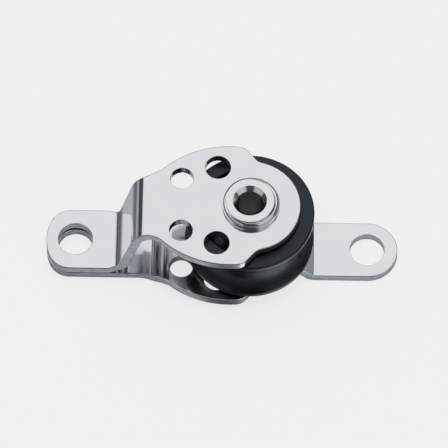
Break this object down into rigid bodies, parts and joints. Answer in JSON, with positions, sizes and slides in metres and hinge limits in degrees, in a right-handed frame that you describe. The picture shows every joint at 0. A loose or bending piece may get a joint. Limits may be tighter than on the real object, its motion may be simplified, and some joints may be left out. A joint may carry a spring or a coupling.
{
  "type": "single sheave block",
  "caption": "Flat-mounting pulley block: a grooved plastic wheel turns on loose balls between two joggled steel plates with end eyes.",
  "frame": {"origin": "on the axle's axis, halfway between the two side plates", "axes": "+Z along the axle towards the upper side plate, +X towards the single mounting tab"},
  "size_m": [0.0668, 0.0254, 0.0206],
  "materials": {
    "polished_sheet": "polished stainless sheet",
    "turned_steel": "turned and polished stainless",
    "hub_steel": "ground stainless",
    "sheave_plastic": "satin black moulded acetal",
    "ball_plastic": "glossy black acetal"
  },
  "bodies": {
    "frame": {"upper_side_plate": "polished_sheet", "lower_side_plate": "polished_sheet", "hollow_axle": "turned_steel", "upper_washer": "turned_steel", "lower_washer": "turned_steel", "bearing_hub": "hub_steel"},
    "wheel": {"sheave": "sheave_plastic"},
    "upper_balls": {"upper_ball_01": "ball_plastic", "upper_ball_02": "ball_plastic", "upper_ball_03": "ball_plastic", "upper_ball_04": "ball_plastic", "upper_ball_05": "ball_plastic", "upper_ball_06": "ball_plastic", "upper_ball_07": "ball_plastic", "upper_ball_08": "ball_plastic", "upper_ball_09": "ball_plastic", "upper_ball_10": "ball_plastic", "upper_ball_11": "ball_plastic", "upper_ball_12": "ball_plastic", "upper_ball_13": "ball_plastic", "upper_ball_14": "ball_plastic", "upper_ball_15": "ball_plastic", "upper_ball_16": "ball_plastic"},
    "lower_balls": {"lower_ball_01": "ball_plastic", "lower_ball_02": "ball_plastic", "lower_ball_03": "ball_plastic", "lower_ball_04": "ball_plastic", "lower_ball_05": "ball_plastic", "lower_ball_06": "ball_plastic", "lower_ball_07": "ball_plastic", "lower_ball_08": "ball_plastic", "lower_ball_09": "ball_plastic", "lower_ball_10": "ball_plastic", "lower_ball_11": "ball_plastic", "lower_ball_12": "ball_plastic", "lower_ball_13": "ball_plastic", "lower_ball_14": "ball_plastic", "lower_ball_15": "ball_plastic", "lower_ball_16": "ball_plastic"}
  },
  "joints": [
    {"name": "sheave_spin", "type": "hinge", "parent": "frame", "child": "wheel", "pos_m": [0, 0, 0], "axis": [0, 0, 1], "continuous": true},
    {"name": "upper_ball_orbit", "type": "hinge", "parent": "frame", "child": "upper_balls", "pos_m": [0, 0, 0], "axis": [0, 0, 1], "continuous": true},
    {"name": "lower_ball_orbit", "type": "hinge", "parent": "frame", "child": "lower_balls", "pos_m": [0, 0, 0], "axis": [0, 0, 1], "continuous": true}
  ],
  "couplings": [
    {"joint": "upper_ball_orbit", "follows": "sheave_spin", "ratio": 0.5952},
    {"joint": "lower_ball_orbit", "follows": "sheave_spin", "ratio": 0.5952}
  ]
}
